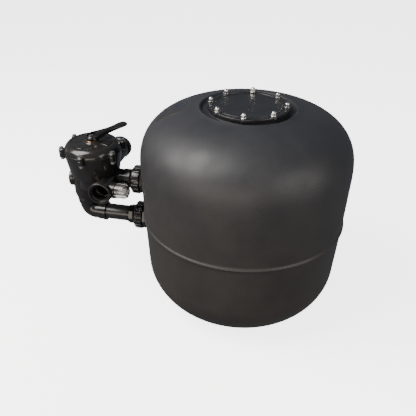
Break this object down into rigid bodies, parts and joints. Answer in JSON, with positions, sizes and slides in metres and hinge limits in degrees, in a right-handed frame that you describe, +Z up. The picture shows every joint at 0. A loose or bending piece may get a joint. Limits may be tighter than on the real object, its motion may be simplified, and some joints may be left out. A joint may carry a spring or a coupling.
{
  "type": "sand filter tank",
  "caption": "Pool sand filter: domed plastic tank with bolted lid, underdrain and diffuser inside, and a side-mounted multiport valve with press-and-turn handle.",
  "frame": {"origin": "centre of the tank's flat base, on the floor", "axes": "+Z up along the tank's axis; the valve stands on -X, its front port faces -Y"},
  "size_m": [0.8525, 0.6002, 0.6451],
  "materials": {
    "tank_plastic": "matte moulded, fine texture",
    "lid_plastic": "satin",
    "valve_plastic": "gloss",
    "fitting_plastic": "gloss",
    "pipe_plastic": "gloss",
    "handle_plastic": "gloss",
    "inner_plastic": "moulded white",
    "seal_rubber": "matte",
    "stainless": "satin",
    "brass": "turned",
    "clear_plastic": "clear, glossy"
  },
  "bodies": {
    "filter": {"air_relief_tube": "inner_plastic", "bottom_elbow": "valve_plastic", "inlet_riser": "inner_plastic", "lateral_hub": "inner_plastic", "laterals": "inner_plastic", "lid_nuts": "stainless", "lid_o_ring": "seal_rubber", "lid_studs": "stainless", "lid_washers": "stainless", "lower_bulkhead": "fitting_plastic", "lower_bulkhead_gasket": "seal_rubber", "lower_bulkhead_nut": "fitting_plastic", "lower_inner_gasket": "seal_rubber", "lower_pipe": "pipe_plastic", "lower_tailpiece": "fitting_plastic", "lower_union_o_ring": "seal_rubber", "neck_inserts": "brass", "rotor_spring": "stainless", "sight_glass": "clear_plastic", "sight_glass_o_ring": "seal_rubber", "spider_gasket": "seal_rubber", "tank_lid": "lid_plastic", "tank_shell": "tank_plastic", "top_diffuser": "inner_plastic", "underdrain_pipe": "inner_plastic", "upper_bulkhead": "fitting_plastic", "upper_bulkhead_gasket": "seal_rubber", "upper_bulkhead_nut": "fitting_plastic", "upper_inner_gasket": "seal_rubber", "upper_tailpiece": "fitting_plastic", "upper_union_o_ring": "seal_rubber", "valve_body": "valve_plastic", "valve_bolts": "stainless", "valve_lid": "valve_plastic", "valve_lid_o_ring": "seal_rubber", "valve_nuts": "stainless", "valve_washers": "stainless"},
    "turntable": {"handle_washer": "brass"},
    "rotor": {"rotor": "inner_plastic", "stem": "inner_plastic", "stem_o_rings": "seal_rubber", "spring_washer": "stainless"},
    "handle": {"handle": "handle_plastic", "handle_pin": "stainless"},
    "upper_union_nut": {"upper_union_nut": "fitting_plastic"},
    "lower_union_nut": {"lower_union_nut": "fitting_plastic"}
  },
  "joints": [
    {"name": "selector_turn", "type": "hinge", "parent": "filter", "child": "turntable", "pos_m": [-0.4645, 0, 0.484], "axis": [0, 0, 1], "continuous": true},
    {"name": "rotor_lift", "type": "slide", "parent": "turntable", "child": "rotor", "axis": [0, 0, 1], "range_m": [0, 0.004], "stiffness_N_per_m": 500, "springref_m": -0.02, "deforming": ["rotor_spring"]},
    {"name": "handle_press", "type": "hinge", "parent": "rotor", "child": "handle", "pos_m": [-0.4645, 0, 0.4913], "axis": [-0.766, 0.6428, 0], "range_deg": [0, 13]},
    {"name": "upper_nut_turn", "type": "hinge", "parent": "filter", "child": "upper_union_nut", "pos_m": [-0.33, 0, 0.365], "axis": [-1, 0, 0], "continuous": true},
    {"name": "lower_nut_turn", "type": "hinge", "parent": "filter", "child": "lower_union_nut", "pos_m": [-0.33, 0, 0.235], "axis": [-1, 0, 0], "continuous": true}
  ],
  "couplings": [
    {"joint": "handle_press", "follows": "rotor_lift", "rad_per_m": 52.36}
  ]
}
